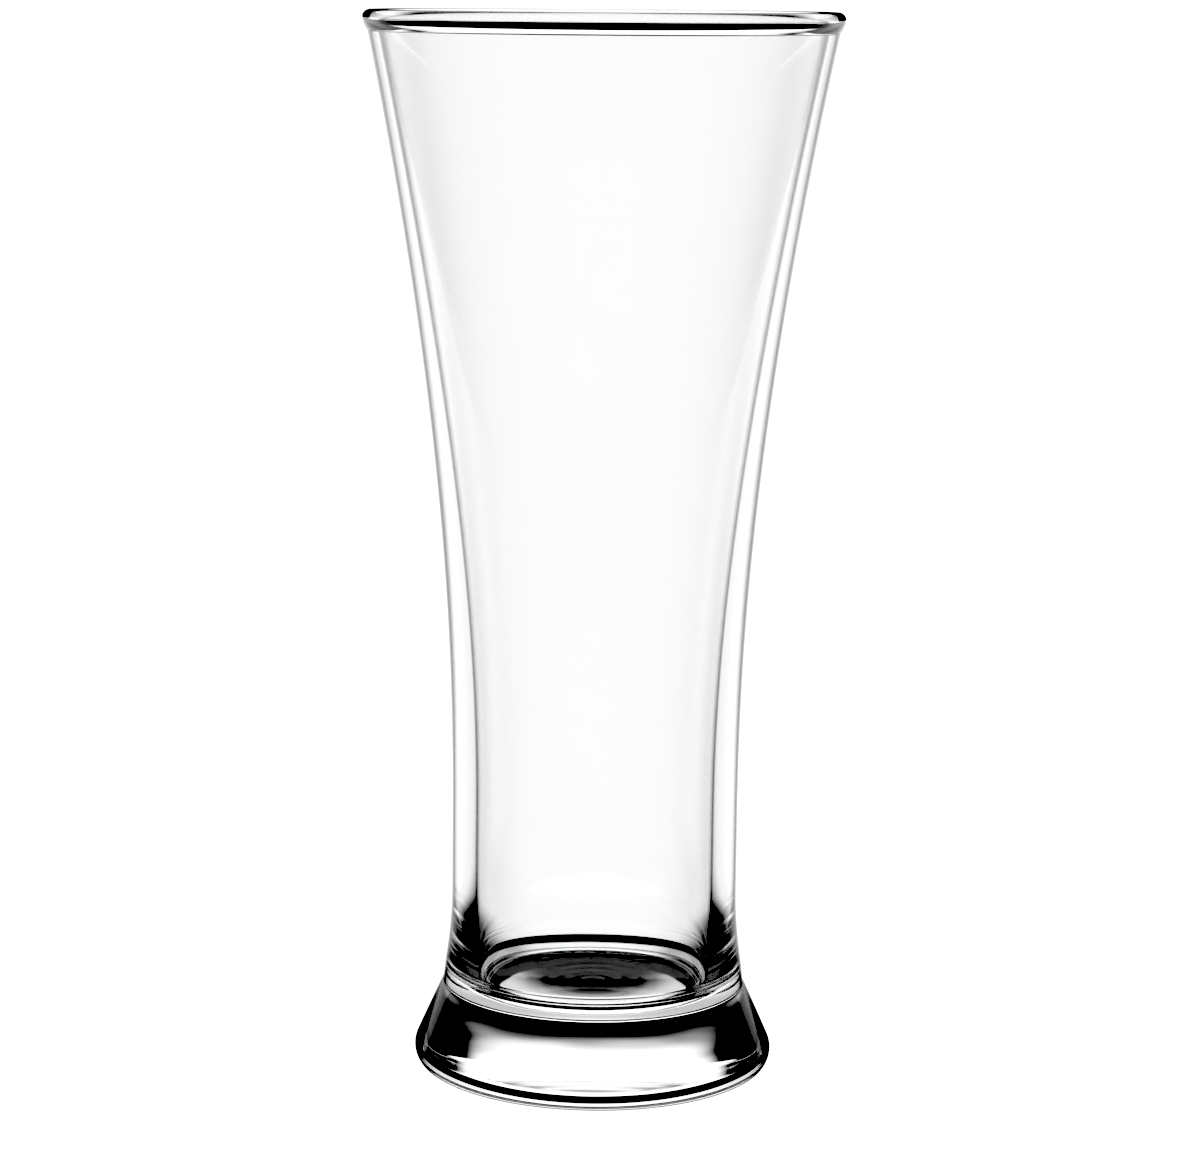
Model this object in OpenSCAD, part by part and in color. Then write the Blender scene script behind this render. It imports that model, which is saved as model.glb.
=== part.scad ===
// Pilsner glass: a heavy solid foot that holds the inside floor, a flared bowl fused on top of it,
// and the fire-polished bead round the mouth. All of it is clear soda-lime glass.
// Millimetres, +Z up, origin at the centre of the resting ring, on the table.

/* [Glass] */
// Height from the table to the top of the rim
glass_h = 176; // [160:1:195]

/* [Rim bead] */
// Thickness of the bead at its widest
bead_d = 2.6; // [2.2:0.1:2.8]
// Height of the bead piece, from the bowl's top edge to the top of the rim
bead_h = 3.5; // [2.9:0.1:4.5]

/* [Bowl] */
// Outside diameter of the wall where the bead starts
mouth_d = 76.4; // [70:0.1:86]
// Wall thickness where the bead starts
mouth_wall = 1.7; // [1.5:0.1:2.1]
// Outward lean of the wall at the mouth, in degrees
mouth_lean = 11.4; // [6:0.1:14]
// Length over which the outside holds its lean below the mouth
mouth_pull = 72; // [55:1:80]
// Length over which the inside holds its lean below the mouth
inside_pull = 80; // [72:1:84]
// Outside diameter of the straight waist
waist_d = 48; // [45:0.5:50]
// Wall thickness at the waist
waist_wall = 3.9; // [3:0.1:4.2]
// Height where the waist ends and the flare starts
flare_z = 40; // [36:0.5:46]
// Length over which the flare stays upright above the waist
waist_pull = 20; // [10:1:30]

/* [Foot] */
// Largest diameter of the foot
foot_d = 60.4; // [56:0.2:66]
// Radius of the round at the foot's widest point
edge_r = 3.2; // [2.6:0.1:4]
// Height of the foot's widest point
edge_z = 2.3; // [1.8:0.1:2.5]
// Radius of the small round between the edge and the resting ring
rest_r = 1.3; // [0.6:0.1:1.6]
// Height of the foot, up to the bowl
foot_h = 30; // [28:1:34]
// Diameter at the crease between the skirt and the sloping foot
crease_d = 50.8; // [50.2:0.1:53]
// Height of the crease
crease_z = 13.8; // [12.8:0.2:15]
// Length of the soft blend on each side of the crease
crease_blend = 0.4; // [0.2:0.1:1.5]
// Height of the inside floor at its lowest point, the middle
floor_z = 11.8; // [10:0.2:13]
// Radius of the floor's shallow dish
floor_dish_r = 140; // [90:5:300]
// Radius of the round corner between the floor and the wall
corner_r = 4.2; // [3:0.2:6]
// Width of the flat ring that the glass rests on
rest_w = 2.2; // [1:0.2:5]
// Depth of the dished recess under the foot
recess_depth = 0.15; // [0.1:0.05:0.6]

/* [Hidden] */
glass_tint = "azure";
glass_alpha = 0.4;
overrun = 1;
round_fn = 128;
flare_steps = 48;
skirt_steps = 12;
edge_steps = 10;
drop_steps = 10;
skirt_turn_share = 0.72;
rest_turn = -90;

// Radii and heights that the pieces share
mouth_r = mouth_d / 2;
waist_r = waist_d / 2;
waist_bore_r = waist_r - waist_wall;
foot_r = foot_d / 2;
bead_z = glass_h - bead_h;

// The bead's round top sits on the middle of the wall, carried on along its lean
bead_r = bead_d / 2;
bead_rise = bead_h - bead_r;
bead_centre = [mouth_r - mouth_wall / 2 + bead_rise * tan(mouth_lean), bead_z + bead_rise];

// The foot's rounded edge, which runs smoothly into the small round above the resting ring
edge_centre = [foot_r - edge_r, edge_z];
rest_shift = sqrt(pow(edge_r - rest_r, 2) - pow(edge_z - rest_r, 2));
rest_centre = [edge_centre[0] + rest_shift, rest_r];
edge_turn = atan2(rest_r - edge_z, rest_shift);

// The recess under the foot, and the inside corner, which runs smoothly into the floor
recess_r = rest_centre[0] - rest_w;
recess_ball_r = (recess_r * recess_r + recess_depth * recess_depth) / (2 * recess_depth);
floor_centre_z = floor_z + floor_dish_r;
corner_drop = sqrt(pow(floor_dish_r - corner_r, 2) - pow(waist_bore_r - corner_r, 2));
corner_centre = [waist_bore_r - corner_r, floor_centre_z - corner_drop];
floor_edge_r = corner_centre[0] * floor_dish_r / (floor_dish_r - corner_r);

// Points on curves that are pulled towards their inner points, with t running from 0 to 1
function bend(a, b, c, t) = pow(1 - t, 2) * a + 2 * t * (1 - t) * b + pow(t, 2) * c;
function sweep(a, b, c, d, t) = (1 - t) * bend(a, b, c, t) + t * bend(b, c, d, t);

// A point from one place towards another, at a set distance
function towards(from, to, distance) = from + (to - from) * distance / norm(to - from);

// A point on a circle, and the points of an arc after its first one
function on_circle(centre, r, turn) = centre + r * [cos(turn), sin(turn)];
function arc(centre, r, first, last) =
    [for (i = [1:edge_steps]) on_circle(centre, r, first + (last - first) * i / edge_steps)];

// The turn on a circle at which a line from a point outside touches it
function touch_turn(point, centre, r) =
    let (gap = point - centre)
    atan2(gap[1], gap[0]) - acos(r / norm(gap));

// One face of the flared wall, from the waist up to the bead
function flare(low_r, high_r, pull) =
    [for (i = [0:flare_steps])
        sweep(
            [low_r, flare_z],
            [low_r, flare_z + waist_pull],
            [high_r - pull * tan(mouth_lean), bead_z - pull],
            [high_r, bead_z],
            i / flare_steps
        )
    ];

// The foot's outside above its rounded edge: the slope, the crease and the skirt up to the waist
crease = [crease_d / 2, crease_z];
skirt_turn = [waist_r, crease_z + (foot_h - crease_z) * skirt_turn_share];
slope_turn = touch_turn(crease, edge_centre, edge_r);
slope_high = towards(crease, on_circle(edge_centre, edge_r, slope_turn), crease_blend);
skirt_low = towards(crease, skirt_turn, crease_blend);
skirt_high = towards(skirt_turn, crease, foot_h - skirt_turn[1]);
crease_curve = [for (i = [0:skirt_steps]) bend(slope_high, crease, skirt_low, i / skirt_steps)];
skirt_curve = [for (i = [0:skirt_steps]) bend(skirt_high, skirt_turn, [waist_r, foot_h], i / skirt_steps)];

// Turns a half section about the glass's axis
module lathe() {
    rotate_extrude($fn = round_fn) children();
}

// Half section of the hollow inside the foot: the dished floor, its round corner and the wall above
module floor_hollow() {
    hollow_top = foot_h + overrun;
    translate([0, corner_centre[1]]) square([waist_bore_r, hollow_top - corner_centre[1]]);
    translate(corner_centre) circle(corner_r, $fn = round_fn);
    intersection() {
        translate([0, floor_z]) square([floor_edge_r, hollow_top - floor_z]);
        translate([0, floor_centre_z]) circle(floor_dish_r, $fn = round_fn);
    }
}

// Solid foot with a rounded edge, a sloping side and a slim skirt, dished underneath
module foot() {
    color(glass_tint, glass_alpha)
    difference() {
        lathe() polygon(concat(
            [[0, 0], [rest_centre[0], 0]],
            arc(rest_centre, rest_r, rest_turn, edge_turn),
            arc(edge_centre, edge_r, edge_turn, slope_turn),
            crease_curve,
            skirt_curve,
            [[0, foot_h]]
        ));
        lathe() floor_hollow();
        translate([0, 0, recess_depth - recess_ball_r]) sphere(recess_ball_r, $fn = round_fn);
    }
}

// Open flared wall, thick at the waist and thin at the mouth
module bowl() {
    inside = flare(waist_bore_r, mouth_r - mouth_wall, inside_pull);
    color(glass_tint, glass_alpha)
    lathe() polygon(concat(
        [[waist_r, foot_h]],
        flare(waist_r, mouth_r, mouth_pull),
        [for (i = [0:flare_steps]) inside[flare_steps - i]],
        [[waist_bore_r, foot_h]]
    ));
}

// Fire-polished bead, shaped like a drop that grows out of the wall up to its round top
module rim_bead() {
    neck_out = [mouth_r, bead_z];
    neck_in = [mouth_r - mouth_wall, bead_z];
    along = [sin(mouth_lean), cos(mouth_lean)];
    across = [cos(mouth_lean), -sin(mouth_lean)];
    wide_out = bead_centre + bead_r * across;
    wide_in = bead_centre - bead_r * across;
    pull = along * bead_rise / 2;
    color(glass_tint, glass_alpha)
    lathe() {
        polygon(concat(
            [for (i = [0:drop_steps]) bend(neck_out, wide_out - pull, wide_out, i / drop_steps)],
            [for (i = [0:drop_steps]) bend(wide_in, wide_in - pull, neck_in, i / drop_steps)]
        ));
        translate(bead_centre) circle(bead_r, $fn = round_fn);
    }
}

foot();
bowl();
rim_bead();
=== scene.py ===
from math import acos, atan2, cos, pi, radians, sin, sqrt, tan

import bpy
from mathutils import Matrix, Vector


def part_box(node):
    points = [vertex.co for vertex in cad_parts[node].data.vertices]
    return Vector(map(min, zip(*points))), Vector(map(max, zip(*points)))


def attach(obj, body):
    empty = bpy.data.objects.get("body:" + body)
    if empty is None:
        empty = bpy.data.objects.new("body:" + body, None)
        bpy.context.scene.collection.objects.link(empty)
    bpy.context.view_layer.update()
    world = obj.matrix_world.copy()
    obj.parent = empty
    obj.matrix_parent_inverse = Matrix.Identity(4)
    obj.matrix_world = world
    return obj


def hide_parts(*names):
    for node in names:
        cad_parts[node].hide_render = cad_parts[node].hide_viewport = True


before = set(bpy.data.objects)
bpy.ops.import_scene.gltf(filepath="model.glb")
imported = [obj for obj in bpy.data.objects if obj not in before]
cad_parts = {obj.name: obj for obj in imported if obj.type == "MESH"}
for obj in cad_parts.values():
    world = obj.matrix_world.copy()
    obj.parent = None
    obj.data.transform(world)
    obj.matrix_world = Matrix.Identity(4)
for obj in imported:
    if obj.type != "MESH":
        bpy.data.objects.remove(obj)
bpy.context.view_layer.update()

# Foot
# The heavy base of the glass: clear soda-lime glass, pressed solid in a mould while hot from the furnace.
# The plunger left a round-cornered floor with faint ripples, and the mould's joint two fine lines round
# the skirt. It stands on a narrow flat ring, worn dull by use, round a shallow dished recess.
foot_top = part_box("foot")[1]
foot_r, foot_h = foot_top.x, foot_top.z
edge_r, edge_z = 0.0032, 0.0023
rest_r, rest_w = 0.0013, 0.0022
recess_depth, recess_steps = 0.00015, 20
crease = Vector((0.0254, 0.0138))
crease_blend = 0.0004
skirt_share = 0.72
waist_r, waist_wall = 0.024, 0.0039
bore_r = waist_r - waist_wall
floor_z, floor_steps = 0.0118, 81
floor_dish_r = 0.140
corner_r = 0.0042
mould_lines = (0.0166, 0.0177)
mould_line_w, mould_line_h = 0.0005, 0.00004
ripple_h, ripple_gap = 0.000009, 0.0026
spin_steps = 192
weld_gap = 0.000002
crisp_angle = radians(22)


def straight(start, end, steps):
    """Points along a straight line, with its start and without its end."""
    return [start.lerp(end, i / steps) for i in range(steps)]


def bend(start, pull, end, steps):
    """Points on a curve from start to end that is drawn towards the pull point."""
    shares = [i / steps for i in range(steps + 1)]
    return [start * (1 - t) ** 2 + pull * (2 * t * (1 - t)) + end * t ** 2 for t in shares]


def arc(centre, radius, first, last, steps):
    """Points round part of a circle, between two angles."""
    turns = [first + (last - first) * i / steps for i in range(steps + 1)]
    return [centre + Vector((cos(turn), sin(turn))) * radius for turn in turns]


def touch_angle(point, centre, radius):
    """The angle on a circle at which a line from a point just touches it."""
    gap = point - centre
    return atan2(gap.y, gap.x) - acos(radius / gap.length)


def lathe(name, line):
    """Draws a half section point by point and spins it round the glass's axis."""
    bpy.ops.object.select_all(action="DESELECT")
    bpy.ops.mesh.primitive_plane_add(size=0.001)
    piece = bpy.context.object
    piece.name = piece.data.name = name
    bpy.ops.object.mode_set(mode="EDIT")
    bpy.ops.mesh.select_all(action="SELECT")
    bpy.ops.mesh.merge(type="CENTER")
    bpy.ops.transform.translate(value=(line[0].x, 0, line[0].y))
    for here, there in zip(line, line[1:]):
        bpy.ops.mesh.extrude_region_move(
            TRANSFORM_OT_translate={"value": (there.x - here.x, 0, there.y - here.y)})
    bpy.ops.mesh.select_all(action="SELECT")
    bpy.ops.mesh.spin(steps=spin_steps, angle=2 * pi, center=(0, 0, 0), axis=(0, 0, 1))
    bpy.ops.mesh.select_all(action="SELECT")
    bpy.ops.mesh.remove_doubles(threshold=weld_gap)
    bpy.ops.mesh.normals_make_consistent(inside=False)
    bpy.ops.object.mode_set(mode="OBJECT")
    bpy.ops.object.shade_smooth_by_angle(angle=crisp_angle)
    return piece


edge_centre = Vector((foot_r - edge_r, edge_z))
rest_shift = sqrt((edge_r - rest_r) ** 2 - (edge_z - rest_r) ** 2)
rest_centre = Vector((edge_centre.x + rest_shift, rest_r))
edge_turn = atan2(rest_r - edge_z, rest_shift)
slope_turn = touch_angle(crease, edge_centre, edge_r)
slope_low = edge_centre + Vector((cos(slope_turn), sin(slope_turn))) * edge_r
slope_high = crease + (slope_low - crease).normalized() * crease_blend
skirt_turn = Vector((waist_r, crease.y + (foot_h - crease.y) * skirt_share))
skirt_low = crease + (skirt_turn - crease).normalized() * crease_blend
skirt_high = skirt_turn + (crease - skirt_turn).normalized() * (foot_h - skirt_turn.y)
skirt = straight(skirt_low, skirt_high, steps=130)
for point in skirt:
    for line_z in mould_lines:
        share = abs(point.y - line_z) / (mould_line_w / 2)
        if share < 1:
            point.x += mould_line_h * cos(share * pi / 2) ** 2
skirt += bend(skirt_high, skirt_turn, Vector((waist_r, foot_h)), steps=36)

corner_fall = sqrt((floor_dish_r - corner_r) ** 2 - (bore_r - corner_r) ** 2)
corner_centre = Vector((bore_r - corner_r, floor_z + floor_dish_r - corner_fall))
floor_edge_r = corner_centre.x * floor_dish_r / (floor_dish_r - corner_r)
floor = []
for i in range(1, floor_steps):
    r = floor_edge_r * (1 - i / floor_steps)
    swell = ripple_h * cos(2 * pi * r / ripple_gap) * sin(pi * r / floor_edge_r)
    floor.append(Vector((r, floor_z + floor_dish_r - sqrt(floor_dish_r ** 2 - r ** 2) + swell)))
floor.append(Vector((0, floor_z)))

recess_r = rest_centre.x - rest_w
shares = [i / recess_steps for i in range(recess_steps)]
foot_line = [Vector((recess_r * share, recess_depth * (1 - share ** 2))) for share in shares]
foot_line += straight(Vector((recess_r, 0)), Vector((rest_centre.x, 0)), steps=4)
foot_line += arc(rest_centre, rest_r, -pi / 2, edge_turn, steps=12)
foot_line += arc(edge_centre, edge_r, edge_turn, slope_turn, steps=28)[1:]
foot_line += straight(slope_low, slope_high, steps=8)[1:]
foot_line += bend(slope_high, crease, skirt_low, steps=12)[:-1]
foot_line += skirt
foot_line += straight(Vector((bore_r, foot_h)), Vector((bore_r, corner_centre.y)), steps=8)
foot_line += arc(corner_centre, corner_r, 0, -atan2(corner_fall, corner_centre.x), steps=40)
foot_line += floor
foot = lathe("foot_glass_body", foot_line)

glass_ior = 1.52
# Painted shade: the tint goes nearly black where one looks along the glass, standing in for dark edges.
painted_edge_shade = (0.002, 0.002, 0.002, 1)
edge_glance = (0.72, 0.83)


def clear_glass(name, tints, tint_size, wave_size, wave_depth):
    """Clear glass: its tint drifts slightly, painted shade darkens glancing edges, and the face is faintly
    wavy.
    """
    material = bpy.data.materials.new(name)
    material.use_nodes = True
    nodes, links = material.node_tree.nodes, material.node_tree.links
    shader = nodes["Principled BSDF"]
    shader.inputs["Transmission Weight"].default_value = 1
    shader.inputs["IOR"].default_value = glass_ior
    shader.inputs["Roughness"].default_value = 0
    place = nodes.new("ShaderNodeTexCoord")
    drift = nodes.new("ShaderNodeTexNoise")
    drift.inputs["Scale"].default_value = 1 / tint_size
    drift.inputs["Detail"].default_value = 1
    links.new(place.outputs["Object"], drift.inputs["Vector"])
    tint = nodes.new("ShaderNodeValToRGB")
    tint.color_ramp.elements[0].color = (*tints[0], 1)
    tint.color_ramp.elements[1].color = (*tints[1], 1)
    links.new(drift.outputs["Fac"], tint.inputs["Fac"])
    # Painted shade: the tint darkens towards black the more glancing the view is.
    glance = nodes.new("ShaderNodeLayerWeight")
    dim = nodes.new("ShaderNodeMapRange")
    dim.inputs["From Min"].default_value = edge_glance[0]
    dim.inputs["From Max"].default_value = edge_glance[1]
    links.new(glance.outputs["Facing"], dim.inputs["Value"])
    edge = nodes.new("ShaderNodeMixRGB")
    edge.inputs["Color2"].default_value = painted_edge_shade
    links.new(dim.outputs["Result"], edge.inputs["Fac"])
    links.new(tint.outputs["Color"], edge.inputs["Color1"])
    links.new(edge.outputs["Color"], shader.inputs["Base Color"])
    wave = nodes.new("ShaderNodeTexNoise")
    wave.inputs["Scale"].default_value = 1 / wave_size
    wave.inputs["Detail"].default_value = 0
    links.new(place.outputs["Object"], wave.inputs["Vector"])
    bump = nodes.new("ShaderNodeBump")
    bump.inputs["Distance"].default_value = wave_depth
    links.new(wave.outputs["Fac"], bump.inputs["Height"])
    links.new(bump.outputs["Normal"], shader.inputs["Normal"])
    return material


foot_tints = ((0.990, 0.993, 0.992), (0.996, 0.998, 0.997))
worn_z = (0.000002, 0.000006)
worn_roughness = 0.4
scuff_scale = 900
foot_glass = clear_glass("foot_glass", foot_tints, tint_size=0.02, wave_size=0.006, wave_depth=0.000004)
nodes, links = foot_glass.node_tree.nodes, foot_glass.node_tree.links
place = nodes.new("ShaderNodeTexCoord")
height = nodes.new("ShaderNodeSeparateXYZ")
links.new(place.outputs["Object"], height.inputs["Vector"])
underside = nodes.new("ShaderNodeMapRange")
underside.inputs["From Min"].default_value = worn_z[0]
underside.inputs["From Max"].default_value = worn_z[1]
underside.inputs["To Min"].default_value = worn_roughness
underside.inputs["To Max"].default_value = 0
links.new(height.outputs["Z"], underside.inputs["Value"])
scuffs = nodes.new("ShaderNodeTexNoise")
scuffs.inputs["Scale"].default_value = scuff_scale
scuffs.inputs["Detail"].default_value = 4
links.new(place.outputs["Object"], scuffs.inputs["Vector"])
wear = nodes.new("ShaderNodeMath")
wear.operation = "MULTIPLY"
links.new(underside.outputs["Result"], wear.inputs[0])
links.new(scuffs.outputs["Fac"], wear.inputs[1])
links.new(wear.outputs["Value"], nodes["Principled BSDF"].inputs["Roughness"])
foot.data.materials.append(foot_glass)

flat_normal, joint_gap = 0.99, 0.00001
fused = bpy.data.materials.new("fused_joint")
fused.use_nodes = True
fused.node_tree.nodes.clear()
through = fused.node_tree.nodes.new("ShaderNodeBsdfTransparent")
out = fused.node_tree.nodes.new("ShaderNodeOutputMaterial")
fused.node_tree.links.new(through.outputs["BSDF"], out.inputs["Surface"])


def fuse(piece, joint_z):
    """Makes the flat ring where a piece runs on into the next one disappear, as in fused glass."""
    slot = len(piece.data.materials)
    piece.data.materials.append(fused)
    for face in piece.data.polygons:
        if abs(face.normal.z) > flat_normal and abs(face.center.z - joint_z) < joint_gap:
            face.material_index = slot


fuse(foot, foot_h)
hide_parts("foot")
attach(foot, "root")

# Bowl
# The open wall of the glass, pressed in one with the foot from the same clear glass. It is thick and
# straight at the waist and thins as it flares to the mouth, with the faint waviness of glass that cooled
# against a mould.
bowl_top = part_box("bowl")[1]
bowl_h = bowl_top.z
mouth_r = bowl_top.x
mouth_wall = 0.0017
mouth_lean = radians(11.4)
mouth_pull, inside_pull = 0.072, 0.080
flare_z, flare_steps = 0.040, 90
waist_pull = 0.020
wall_tints = ((0.992, 0.995, 0.994), (0.997, 0.999, 0.998))


def wall_face(low_r, high_r, pull):
    """One face of the wall, upright at the waist and leaning out at the mouth."""
    waist = Vector((low_r, flare_z))
    upright = Vector((low_r, flare_z + waist_pull))
    leaning = Vector((high_r - pull * tan(mouth_lean), bowl_h - pull))
    mouth = Vector((high_r, bowl_h))
    first = bend(waist, upright, leaning, flare_steps)
    second = bend(upright, leaning, mouth, flare_steps)
    flare = [a.lerp(b, i / flare_steps) for i, (a, b) in enumerate(zip(first, second))]
    return straight(Vector((low_r, foot_h)), waist, steps=4) + flare


outside = wall_face(waist_r, mouth_r, mouth_pull)
inside = wall_face(bore_r, mouth_r - mouth_wall, inside_pull)
bowl = lathe("bowl_glass_wall", outside + inside[::-1] + outside[:1])
bowl.data.materials.append(
    clear_glass("bowl_glass", wall_tints, tint_size=0.03, wave_size=0.012, wave_depth=0.000004))
fuse(bowl, foot_h)
fuse(bowl, bowl_h)
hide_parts("bowl")
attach(bowl, "root")

# Rim bead
# The drinking edge: the cut top of the wall, melted back in a ring of flames until it drew itself into a
# smooth round bead. The same clear glass, brighter and freer of marks than the pressed faces.
rim_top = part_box("rim_bead")[1]
bead_r = 0.0013
bead_centre = Vector((rim_top.x - bead_r, rim_top.z - bead_r))
drop_h, drop_steps = 0.00175, 20
drop_taper = 130
along = Vector((sin(mouth_lean), cos(mouth_lean)))
across = Vector((cos(mouth_lean), -sin(mouth_lean)))


def drop_side(side, neck):
    """One side of the bead, from its widest point down a drop's curve to the wall."""
    depths = [drop_h * i / drop_steps for i in range(drop_steps + 1)]
    line = [bead_centre + across * side * (bead_r - drop_taper * d ** 2) - along * d for d in depths]
    wall_w = mouth_wall / 2 * cos(mouth_lean)
    meet_d = drop_h + (bead_r - drop_taper * drop_h ** 2 - wall_w) / (2 * drop_taper * drop_h)
    meet = bead_centre + across * side * wall_w - along * meet_d
    fillet = bend(line[-1], meet, meet - along * (meet_d - drop_h), steps=10)
    return line + fillet[1:] + [neck]


rim_line = drop_side(1, Vector((mouth_r, bowl_h)))[::-1]
rim_line += arc(bead_centre, bead_r, -mouth_lean, pi - mouth_lean, steps=48)[1:-1]
rim_line += drop_side(-1, Vector((mouth_r - mouth_wall, bowl_h)))
rim_line += rim_line[:1]
rim = lathe("rim_glass_bead", rim_line)
rim.data.materials.append(
    clear_glass("rim_glass", wall_tints, tint_size=0.03, wave_size=0.008, wave_depth=0.000003))
fuse(rim, bowl_h)
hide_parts("rim_bead")
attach(rim, "root")

# Camera
# A long lens at about the height of the rim, looking slightly down. The photograph is cropped a little
# off its centre, which the small shift repeats.
camera_place = (-0.01157, -0.5469, 0.180)
camera_pitch, camera_roll = radians(10.147), radians(0.44)
camera = bpy.data.objects.new("camera", bpy.data.cameras.new("camera"))
bpy.context.scene.collection.objects.link(camera)
bpy.context.scene.camera = camera
camera.data.sensor_width = 36
camera.data.lens = 100
camera.data.shift_x = 0.06
camera.data.clip_end = 100
aim = Matrix.Rotation(pi / 2 - camera_pitch, 4, "X") @ Matrix.Rotation(camera_roll, 4, "Z")
camera.matrix_world = Matrix.Translation(camera_place) @ aim

# Turntable
# Stands for the way such a glass is photographed: the glass is turned, and the camera and the lights stay.
# The table and the light tent turn with the camera about the glass's axis, so every side is lit alike.
bpy.ops.object.select_all(action="DESELECT")
bpy.ops.object.empty_add(location=(0, 0, 0))
turntable = bpy.context.object
turntable.name = "turntable"
follow = turntable.constraints.new("LOCKED_TRACK")
follow.target = camera
follow.track_axis = "TRACK_NEGATIVE_Y"
follow.lock_axis = "LOCK_Z"

# Table
# A white table that glows with painted light and painted shade instead of being lit: bright behind the
# glass as if the studio light fell on it, and dim at the sides and in front. A painted shadow covers what
# the foot stands on and a soft ring round it, and painted light in the front of the middle stands for what
# the foot lets through.
# The camera sees the open table as plain white.
set_r, set_steps = 20, 96
table_z = -0.0001
# Levels and spans of the painted light and painted shade that the table glows with.
far_level, side_level, near_level = 1.13, 0.06, 0.6
shade_level, middle_level = 0.03, 1.1
white_level = 1.1
foot_shade_r = (0.0243, 0.0258)
lit_turn = (radians(34), radians(58))
spread_r, spread_turn = (0.06, 0.15), (radians(-11), radians(18))
slant_turn, slant_share = (radians(9), radians(36)), 0.86
near_r, near_turn = (0.029, 0.0305), (radians(95), radians(115))
shadow_start_r, shadow_end_r, shadow_depth = (0.0315, 0.035), (0.036, 0.040), 0.4
middle_r = (0.019, 0.020)
middle_curve, middle_front = 29, (-0.0025, 0.006)
bpy.ops.object.select_all(action="DESELECT")
bpy.ops.mesh.primitive_circle_add(
    vertices=set_steps, radius=set_r, fill_type="NGON", location=(0, 0, table_z))
table = bpy.context.object
table.name = "table"
table.parent = turntable
table_painted_light = bpy.data.materials.new("table_painted_light")
table_painted_light.use_nodes = True
table_painted_light.cycles.emission_sampling = "NONE"
table_painted_light.node_tree.nodes.clear()


def calc(tree, operation, *values):
    """A math node on fixed numbers or on other nodes' results."""
    node = tree.nodes.new("ShaderNodeMath")
    node.operation = operation
    for slot, value in zip(node.inputs, values):
        if isinstance(value, (int, float)):
            slot.default_value = value
        else:
            tree.links.new(value, slot)
    return node.outputs["Value"]


def fade(tree, value, span, first=0, last=1):
    """A soft step from the first level to the last while a value goes through a span."""
    node = tree.nodes.new("ShaderNodeMapRange")
    node.interpolation_type = "SMOOTHSTEP"
    tree.links.new(value, node.inputs["Value"])
    node.inputs["From Min"].default_value = span[0]
    node.inputs["From Max"].default_value = span[1]
    node.inputs["To Min"].default_value = first
    node.inputs["To Max"].default_value = last
    return node.outputs["Result"]


def place_round_glass(tree):
    """How far a point is from the glass's axis, how far behind it, its height, and its turn from behind."""
    place = tree.nodes.new("ShaderNodeTexCoord")
    split = tree.nodes.new("ShaderNodeSeparateXYZ")
    tree.links.new(place.outputs["Object"], split.inputs["Vector"])
    x, y, z = split.outputs
    away = calc(tree, "SQRT", calc(tree, "ADD", calc(tree, "MULTIPLY", x, x), calc(tree, "MULTIPLY", y, y)))
    turn = calc(tree, "ABSOLUTE", calc(tree, "ARCTAN2", x, y))
    return away, y, z, turn


def glow(tree, level):
    """Gives a surface of the set its own light."""
    light = tree.nodes.new("ShaderNodeEmission")
    tree.links.new(level, light.inputs["Strength"])
    out = tree.nodes.new("ShaderNodeOutputMaterial")
    tree.links.new(light.outputs["Emission"], out.inputs["Surface"])


tree = table_painted_light.node_tree
away, behind, _, turn = place_round_glass(tree)
# Painted shadow: the table goes dark where the foot covers it.
open_table = fade(tree, away, foot_shade_r)
# Painted light: a bright sector behind the glass that fades to dim sides.
spread = fade(tree, away, spread_r, *spread_turn)
lit = fade(tree, calc(tree, "SUBTRACT", turn, spread), lit_turn, far_level, side_level)
# Painted shadow: a soft darker ring on the table round the foot.
shadow_end = fade(tree, away, shadow_end_r, shadow_depth, 0)
shadow = calc(tree, "MULTIPLY", fade(tree, away, shadow_start_r), shadow_end)
lit = calc(tree, "MULTIPLY", lit, calc(tree, "SUBTRACT", 1, shadow))
# Painted shade: the lit sector dims a little away from straight behind the glass.
lit = calc(tree, "MULTIPLY", lit, fade(tree, turn, slant_turn, 1, slant_share))
# Painted light: a bright narrow ring just outside the foot, fading out towards the front.
near = calc(tree, "MULTIPLY", fade(tree, away, near_r, near_level, 0), fade(tree, turn, near_turn, 1, 0))
round_foot = calc(tree, "MULTIPLY", open_table, calc(tree, "MAXIMUM", lit, near))
# Painted light under the middle of the foot, towards the front, for the light the glass lets through.
curve = calc(tree, "MULTIPLY", calc(tree, "MULTIPLY", away, away), middle_curve)
front = fade(tree, calc(tree, "SUBTRACT", behind, curve), middle_front, middle_level, 0)
middle = calc(tree, "MULTIPLY", fade(tree, away, middle_r, 1, 0), front)
# Under the foot: the painted shadow, with the painted light of the middle added.
shaded = calc(tree, "SUBTRACT", 1, open_table)
under_foot = calc(tree, "MULTIPLY", calc(tree, "ADD", middle, shade_level), shaded)
level = calc(tree, "ADD", under_foot, round_foot)
seen = tree.nodes.new("ShaderNodeLightPath").outputs["Is Camera Ray"]
white = calc(tree, "MULTIPLY", calc(tree, "MULTIPLY", seen, open_table), white_level)
glow(tree, calc(tree, "MAXIMUM", level, white))
table.data.materials.append(table_painted_light)

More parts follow.
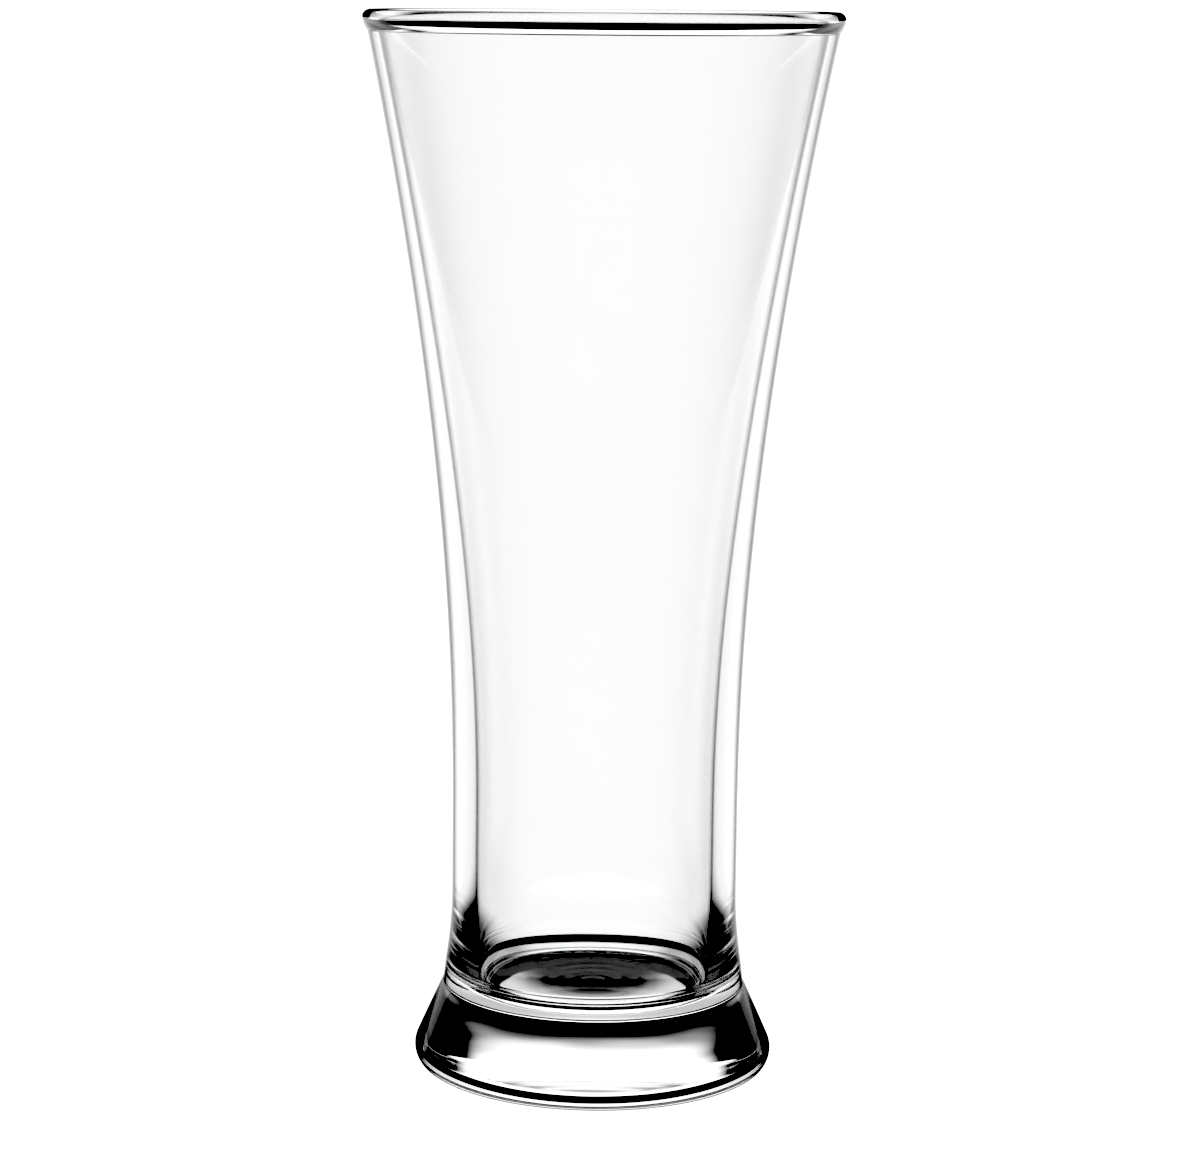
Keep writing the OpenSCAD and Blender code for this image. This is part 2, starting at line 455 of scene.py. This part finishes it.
# Light tent
# A dark round curtain with one wide bright window behind the glass, and a bright strip along the table's
# far edge. The dark sides and the dark gap draw the black lines in the glass's edges and foot.
window_level, dark_level = 1.19, 0.027
arch_narrowing, arch_turn = 0.6, (radians(62), radians(82))
sill_lift, sill_rise = 0.04, (radians(17.3), radians(18.4))
top_rise = (radians(47), radians(53))
strip_turn, strip_rise = (radians(35), radians(54)), (radians(0.1), radians(1.1))
bpy.ops.object.select_all(action="DESELECT")
bpy.ops.mesh.primitive_cylinder_add(
    vertices=set_steps, radius=set_r, depth=2 * set_r, end_fill_type="NOTHING", location=(0, 0, set_r))
tent = bpy.context.object
tent.name = "light_tent"
bpy.ops.object.transform_apply(location=True)
tent.parent = turntable
tent.visible_camera = False
tent_cloth = bpy.data.materials.new("tent_cloth")
tent_cloth.use_nodes = True
tent_cloth.cycles.emission_sampling = "NONE"
tree = tent_cloth.node_tree
tree.nodes.clear()
away, _, height, turn = place_round_glass(tree)
rise = calc(tree, "ARCTAN2", height, away)
arch = fade(tree, calc(tree, "ADD", turn, calc(tree, "MULTIPLY", rise, arch_narrowing)), arch_turn, 1, 0)
sill = calc(tree, "SUBTRACT", rise, calc(tree, "MULTIPLY", calc(tree, "POWER", turn, 4), sill_lift))
opening = calc(tree, "MULTIPLY", fade(tree, sill, sill_rise), fade(tree, rise, top_rise, 1, 0))
window = calc(tree, "MULTIPLY", arch, opening)
strip = calc(tree, "MULTIPLY", fade(tree, turn, strip_turn, 1, 0), fade(tree, rise, strip_rise, 1, 0))
bright = calc(tree, "MULTIPLY", calc(tree, "MAXIMUM", window, strip), window_level)
glow(tree, calc(tree, "ADD", bright, dark_level))
tent.data.materials.append(tent_cloth)

# Studio
# A white room beyond the table, which the camera sees as a plain white ground, too dim to light the glass.
# The print is hard: deep greys go to black and light greys to white, as in the photograph.
light_bounces = 24
print_black, print_white = 0.148, 0.977
scene = bpy.context.scene
room = bpy.data.worlds.new("studio")
scene.world = room
room.use_nodes = True
room.cycles.sampling_method = "NONE"
tree = room.node_tree
ground = tree.nodes["Background"]
ground.inputs["Color"].default_value = (1, 1, 1, 1)
seen = tree.nodes.new("ShaderNodeLightPath").outputs["Is Camera Ray"]
ground_level = calc(tree, "MAXIMUM", calc(tree, "MULTIPLY", seen, white_level), dark_level)
tree.links.new(ground_level, ground.inputs["Strength"])
scene.cycles.max_bounces = light_bounces
scene.cycles.transmission_bounces = light_bounces
scene.cycles.glossy_bounces = light_bounces
scene.cycles.transparent_max_bounces = light_bounces
scene.view_settings.view_transform = "Standard"
scene.view_settings.use_curve_mapping = True
scene.view_settings.curve_mapping.black_level = (print_black,) * 3
scene.view_settings.curve_mapping.white_level = (print_white,) * 3
scene.view_settings.curve_mapping.update()
